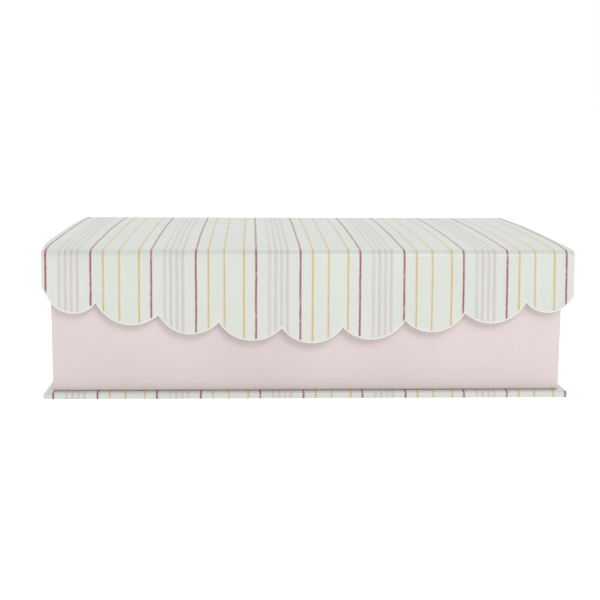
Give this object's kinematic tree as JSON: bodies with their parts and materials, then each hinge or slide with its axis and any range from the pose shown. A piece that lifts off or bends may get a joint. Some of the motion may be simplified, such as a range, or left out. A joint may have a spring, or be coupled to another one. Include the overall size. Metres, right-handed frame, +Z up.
{
  "type": "book-style hat box",
  "caption": "Low rectangular keepsake box: a paper-covered tray fixed in a hinged board case whose lid ends in a scalloped front flap.",
  "frame": {"origin": "middle of the base's underside, halfway between the front fold and the back of the spine", "axes": "+X across the box to the right seen from the front, +Y from the front flap to the spine, +Z up"},
  "size_m": [0.3, 0.2071, 0.085],
  "materials": {
    "greyboard": "matte",
    "striped_paper": "matte",
    "pink_paper": "matte",
    "lining_paper": "matte",
    "kraft_tape": "satin"
  },
  "bodies": {
    "case_and_tray": {"base_board": "greyboard", "base_wrap": "striped_paper", "base_liner": "lining_paper", "base_crease": "striped_paper", "spine_board": "greyboard", "spine_wrap": "striped_paper", "spine_liner": "lining_paper", "lid_crease": "striped_paper", "tray_floor_board": "greyboard", "tray_front_board": "greyboard", "tray_back_board": "greyboard", "tray_left_board": "greyboard", "tray_right_board": "greyboard", "tray_corner_tapes": "kraft_tape", "tray_wrap": "pink_paper", "tray_floor_liner": "pink_paper"},
    "lid": {"lid_board": "greyboard", "lid_wrap": "striped_paper", "lid_liner": "lining_paper", "flap_crease": "striped_paper"},
    "flap": {"flap_board": "greyboard", "flap_wrap": "striped_paper", "flap_liner": "lining_paper"}
  },
  "joints": [
    {"name": "lid_hinge", "type": "hinge", "parent": "case_and_tray", "child": "lid", "pos_m": [0, 0.10114, 0.08414], "axis": [-1, 0, 0], "range_deg": [0, 198]},
    {"name": "flap_hinge", "type": "hinge", "parent": "lid", "child": "flap", "pos_m": [0, -0.10114, 0.08414], "axis": [-1, 0, 0], "range_deg": [0, 86.6]}
  ]
}
